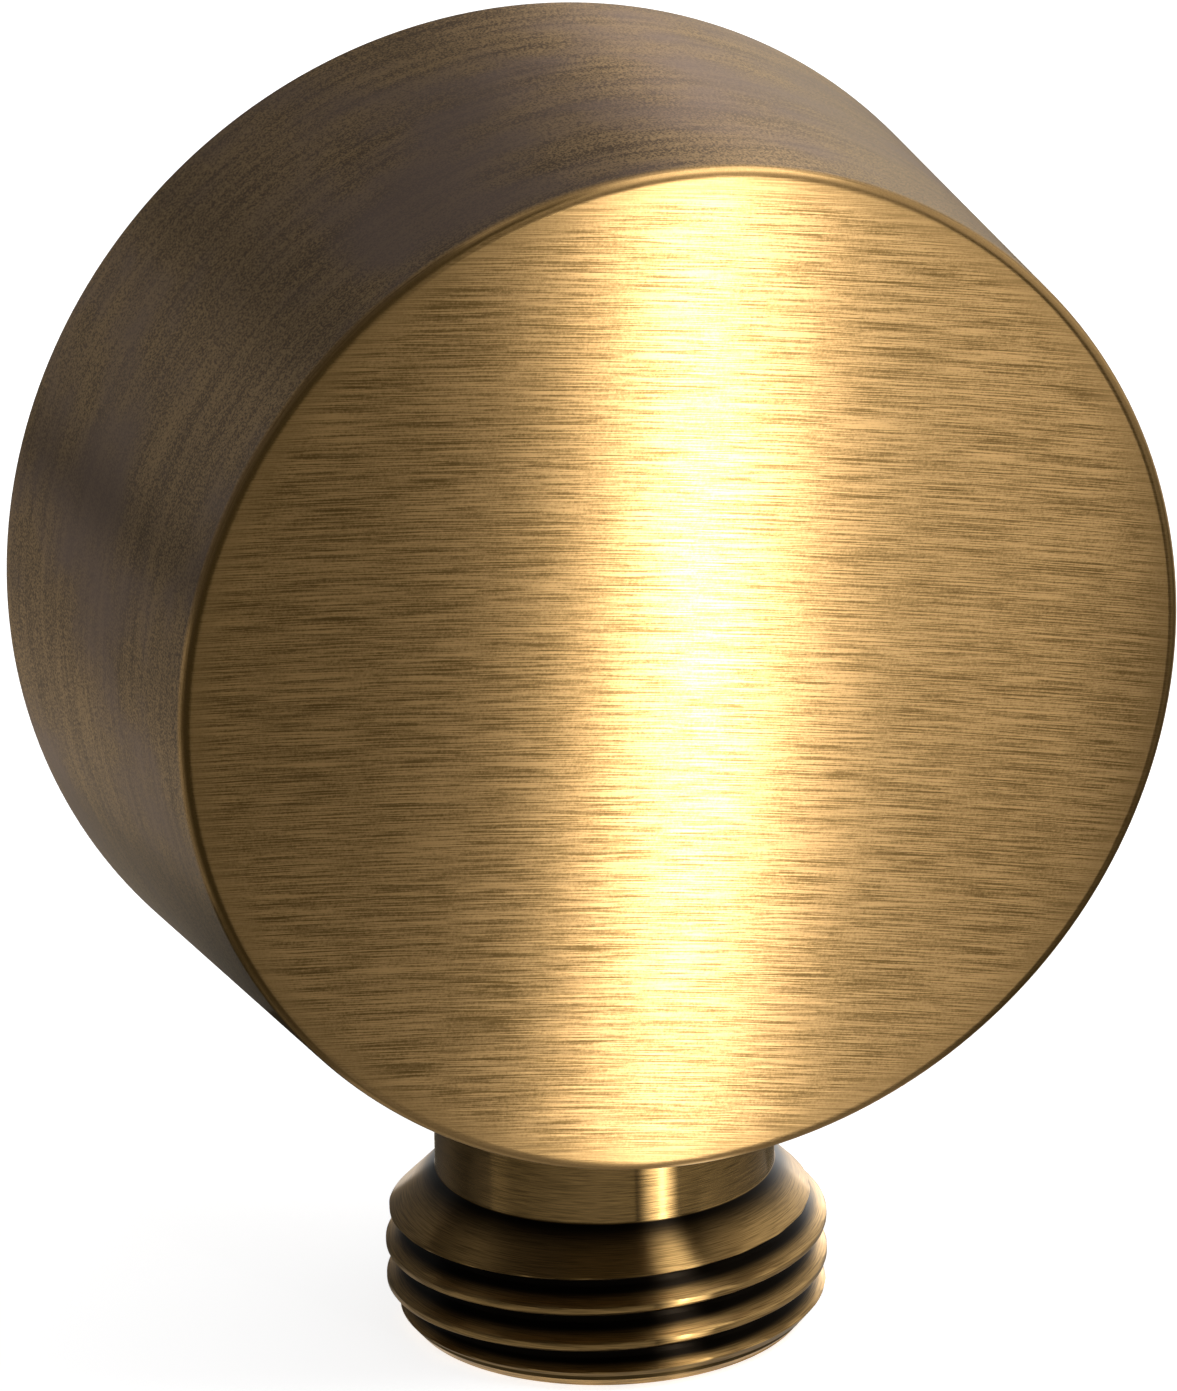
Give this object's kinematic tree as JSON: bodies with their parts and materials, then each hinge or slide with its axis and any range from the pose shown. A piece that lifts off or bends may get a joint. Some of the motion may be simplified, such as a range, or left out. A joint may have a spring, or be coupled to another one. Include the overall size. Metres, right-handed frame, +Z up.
{
  "type": "wall outlet elbow",
  "caption": "Wall outlet elbow: a tapered brushed brass drum with a threaded stub behind it for the wall and a threaded nipple below it for a shower hose.",
  "frame": {"origin": "middle of the flat wall face, on the axis of the wall stub", "axes": "+Y along the wall stub into the wall, -Y out of the front face, +Z up, -Z along the hose nipple"},
  "size_m": [0.0508, 0.0366, 0.0618],
  "materials": {
    "drum_brass": "brushed and darkened: straight strokes on the front, strokes around the side",
    "nipple_brass": "turned and darkened, worn bright on the thread's crests",
    "seal_rubber": "matt black"
  },
  "bodies": {
    "root": {"outlet_body": "drum_brass", "hose_nipple": "nipple_brass", "nipple_seal": "seal_rubber"}
  },
  "joints": []
}
